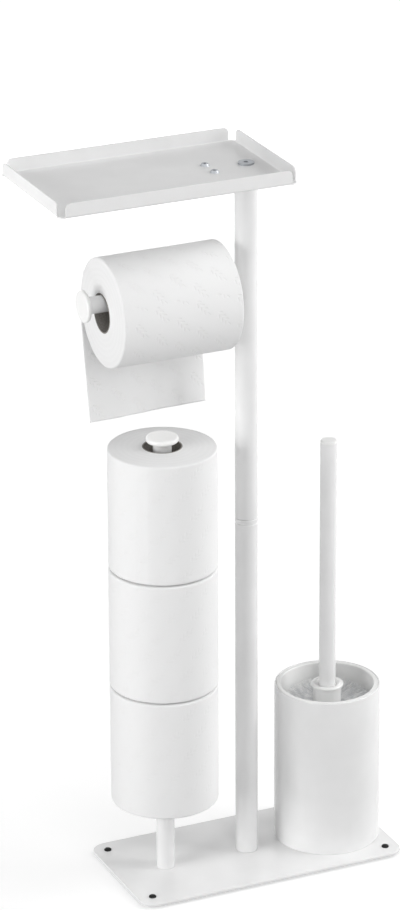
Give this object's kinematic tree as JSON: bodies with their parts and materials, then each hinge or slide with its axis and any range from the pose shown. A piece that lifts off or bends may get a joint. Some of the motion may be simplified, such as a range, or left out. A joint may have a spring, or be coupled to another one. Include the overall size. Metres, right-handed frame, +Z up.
{
  "type": "toilet roll holder",
  "caption": "Free-standing toilet roll holder with a flat base plate, a pole with a tray on top, an arm for the roll in use, a post for stored rolls, and a brush in a cup.",
  "frame": {"origin": "On the floor, under the middle of the whole object: the middle of its box in X and Y.", "axes": "+Z up; +X along the base plate from the stored rolls towards the cup; +Y to the back."},
  "size_m": [0.327, 0.13, 0.6682],
  "materials": {
    "white_coat": "smooth satin-gloss powder coat",
    "white_plastic": "smooth gloss moulding",
    "zinc_steel": "zinc plated",
    "black_rubber": "matt moulded rubber",
    "bristle": "matt nylon",
    "tissue": "soft embossed tissue",
    "core_board": "plain wound board"
  },
  "bodies": {
    "stand": {"base_plate": "white_coat", "rubber_feet": "black_rubber", "lower_pole": "white_coat", "upper_pole": "white_coat", "pole_coupler": "white_coat", "pole_foot_plug": "zinc_steel", "pole_top_plug": "zinc_steel", "frame_bolts": "zinc_steel", "storage_post": "white_coat", "post_foot_plug": "zinc_steel", "post_end_cap": "white_plastic", "roll_stop_disc": "white_coat", "roll_arm": "white_coat", "arm_plug": "zinc_steel", "arm_nut": "zinc_steel", "arm_stud": "zinc_steel", "arm_end_cap": "white_plastic", "tray": "white_coat", "tray_bracket": "white_coat", "tray_screws": "zinc_steel", "cup_shell": "white_coat", "cup_nut": "zinc_steel"},
    "liner": {"cup_liner": "white_plastic"},
    "brush": {"brush_handle": "white_coat", "handle_top_plug": "white_plastic", "handle_foot_plug": "zinc_steel", "handle_stud": "zinc_steel", "brush_head": "white_plastic", "brush_bristles": "bristle"},
    "lower_spare": {"lower_spare_paper": "tissue", "lower_spare_core": "core_board"},
    "middle_spare": {"middle_spare_paper": "tissue", "middle_spare_core": "core_board"},
    "upper_spare": {"upper_spare_paper": "tissue", "upper_spare_core": "core_board"},
    "sheet": {"hanging_sheet": "tissue"},
    "arm_roll": {"arm_roll_paper": "tissue", "arm_roll_core": "core_board"}
  },
  "joints": [
    {"name": "lower_spare_turn", "type": "hinge", "parent": "stand", "child": "lower_spare", "pos_m": [-0.0445, 0, 0.1308], "axis": [0, 0, 1], "continuous": true},
    {"name": "middle_spare_turn", "type": "hinge", "parent": "stand", "child": "middle_spare", "pos_m": [-0.0445, 0, 0.2431], "axis": [0, 0, 1], "continuous": true},
    {"name": "upper_spare_lift", "type": "slide", "parent": "stand", "child": "upper_spare", "axis": [0, 0, 1], "range_m": [0, 0.078], "deforming": ["hanging_sheet"]},
    {"name": "arm_roll_shift", "type": "slide", "parent": "stand", "child": "sheet", "axis": [-1, 0, 0], "range_m": [-0.0125, 0.014]},
    {"name": "arm_roll_turn", "type": "hinge", "parent": "sheet", "child": "arm_roll", "pos_m": [-0.0435, 0, 0.5419], "axis": [1, 0, 0], "continuous": true},
    {"name": "liner_lift", "type": "slide", "parent": "stand", "child": "liner", "axis": [0, 0, 1], "range_m": [0, 0.155]},
    {"name": "brush_lift", "type": "slide", "parent": "liner", "child": "brush", "axis": [0, 0, 1], "range_m": [0, 0.16]}
  ]
}
